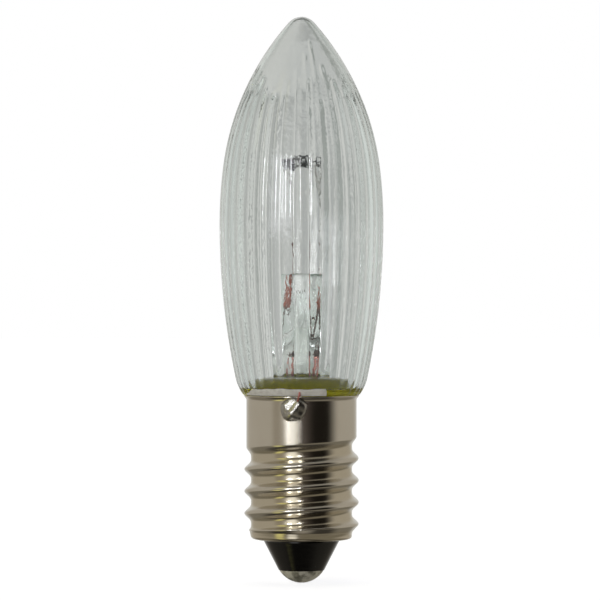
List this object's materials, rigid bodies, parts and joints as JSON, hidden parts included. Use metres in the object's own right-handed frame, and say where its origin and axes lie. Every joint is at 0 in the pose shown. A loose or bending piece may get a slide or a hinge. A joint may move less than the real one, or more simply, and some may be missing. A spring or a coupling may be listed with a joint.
{
  "type": "candle bulb",
  "caption": "Clear ribbed candle-shaped filament bulb with a small screw cap, black glass insulator and soldered contacts.",
  "frame": {"origin": "lowest point of the centre contact, on the axis of the screw cap", "axes": "+Z along the axis from the centre contact to the tip of the glass, -Y towards the side solder, +X to the right seen from there"},
  "size_m": [0.0134, 0.0134, 0.0465],
  "materials": {
    "clear_glass": "clear, ribbed",
    "stem_glass": "clear",
    "copper_clad": "oxidised red",
    "nickel_wire": "drawn wire",
    "tungsten": "dark coil",
    "copper": "bare copper",
    "nickel_plate": "bright nickel plate",
    "black_glass": "glossy black",
    "brass": "plain",
    "solder": "dull solder",
    "cement": "baked olive cement"
  },
  "bodies": {
    "root": {"glass_envelope": "clear_glass", "glass_stem": "stem_glass", "exhaust_tube": "stem_glass", "seal_wire_left": "copper_clad", "seal_wire_right": "copper_clad", "inner_lead_left": "nickel_wire", "inner_lead_right": "nickel_wire", "filament": "tungsten", "centre_lead": "copper", "side_lead": "copper", "screw_shell": "nickel_plate", "insulator": "black_glass", "contact_plate": "brass", "contact_solder": "solder", "basing_cement": "cement", "side_solder": "solder"}
  },
  "joints": []
}
